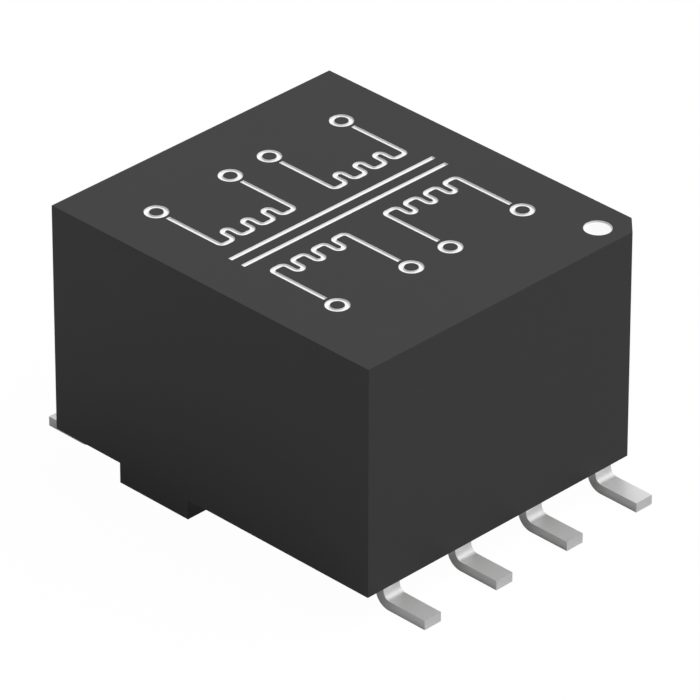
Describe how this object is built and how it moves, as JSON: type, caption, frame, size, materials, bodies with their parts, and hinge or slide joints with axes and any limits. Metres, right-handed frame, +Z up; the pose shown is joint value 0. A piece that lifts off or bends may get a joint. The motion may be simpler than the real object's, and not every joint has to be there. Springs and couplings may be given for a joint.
{
  "type": "surface-mount board transformer",
  "caption": "Low black box-shaped board transformer with gull-wing terminals along two sides, a capped E core with a wound bobbin inside.",
  "frame": {"origin": "on the board plane, under the middle of the cap", "axes": "+Z up from the board, +X along the terminals' feet, the pin 1 recess and the chamfered corner at +X and +Y"},
  "size_m": [0.0132, 0.0096, 0.0072],
  "materials": {
    "cap_plastic": "fine moulded matt black",
    "bobbin_plastic": "moulded black",
    "ferrite": "sintered dark grey",
    "tinned_copper": "matt tin",
    "enamelled_copper": "clear enamel",
    "yellow_tape": "thin glossy film",
    "white_paint": "matt",
    "adhesive": "cured, satin"
  },
  "bodies": {
    "root": {"cap": "cap_plastic", "pin_1_mark": "white_paint", "bobbin": "bobbin_plastic", "core_half_left": "ferrite", "core_half_right": "ferrite", "core_tape": "yellow_tape", "primary_winding": "enamelled_copper", "secondary_winding": "enamelled_copper", "auxiliary_winding": "enamelled_copper", "primary_tape": "yellow_tape", "secondary_tape": "yellow_tape", "outer_tape": "yellow_tape", "glue_left": "adhesive", "glue_right": "adhesive", "terminal_1": "tinned_copper", "lead_out_1": "enamelled_copper", "terminal_2": "tinned_copper", "lead_out_2": "enamelled_copper", "terminal_3": "tinned_copper", "lead_out_3": "enamelled_copper", "terminal_4": "tinned_copper", "lead_out_4": "enamelled_copper", "terminal_5": "tinned_copper", "lead_out_5": "enamelled_copper", "terminal_6": "tinned_copper", "lead_out_6": "enamelled_copper", "terminal_7": "tinned_copper", "lead_out_7": "enamelled_copper", "terminal_8": "tinned_copper", "lead_out_8": "enamelled_copper"}
  },
  "joints": []
}
